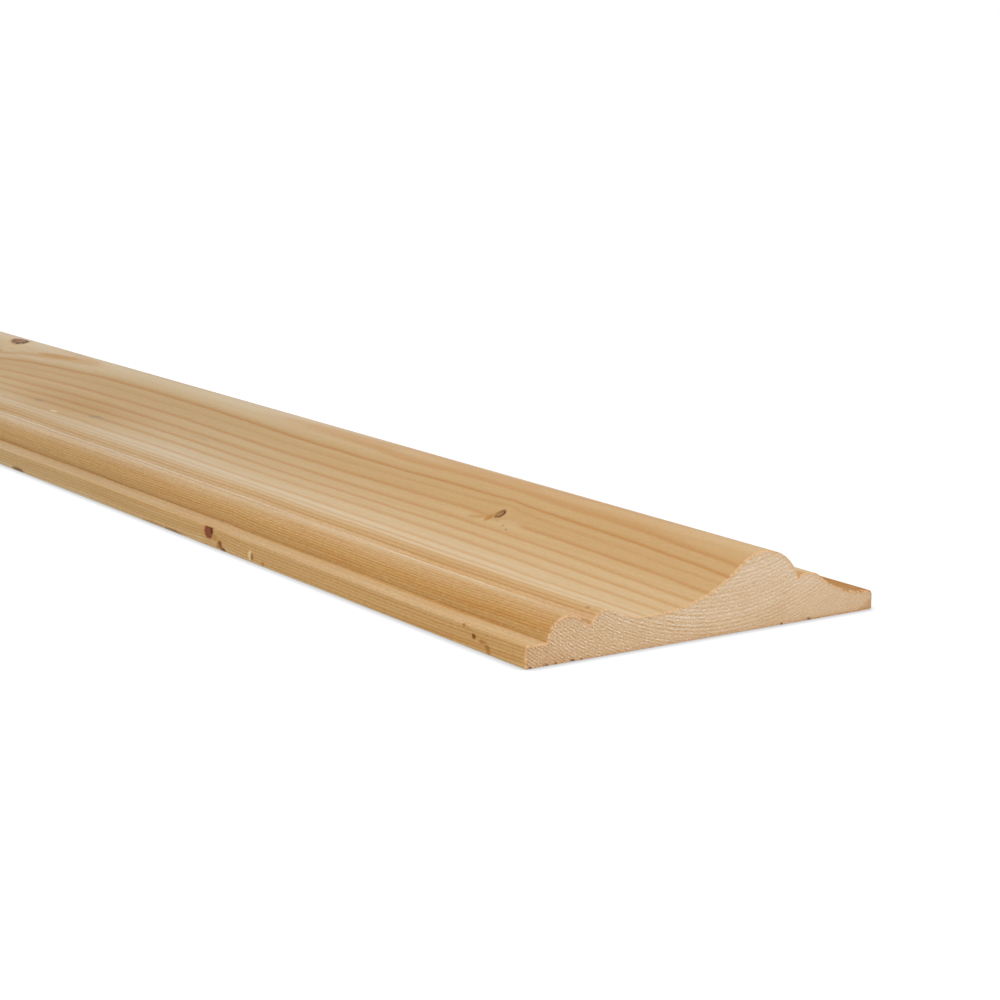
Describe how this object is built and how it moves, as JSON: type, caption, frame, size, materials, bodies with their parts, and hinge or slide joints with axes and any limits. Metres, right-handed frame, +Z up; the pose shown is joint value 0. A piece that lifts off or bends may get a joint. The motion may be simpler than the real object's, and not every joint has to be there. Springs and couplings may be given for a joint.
{
  "type": "decorative wood moulding",
  "caption": "Straight length of flat-backed decorative softwood moulding, milled with an ovolo, a bead, a wide scoop, a rounded crest, a small torus and a cove, with both ends sawn square.",
  "frame": {"origin": "centre of the bounding box at its bottom, on the flat back", "axes": "+X along the length, towards the sawn end that faces the viewer, +Y from the thin fillet edge across the width to the lip edge, +Z up from the back to the crest"},
  "size_m": [2.4, 0.12, 0.022],
  "materials": {
    "wood": "planed, unfinished"
  },
  "bodies": {
    "root": {"moulding": "wood"}
  },
  "joints": []
}
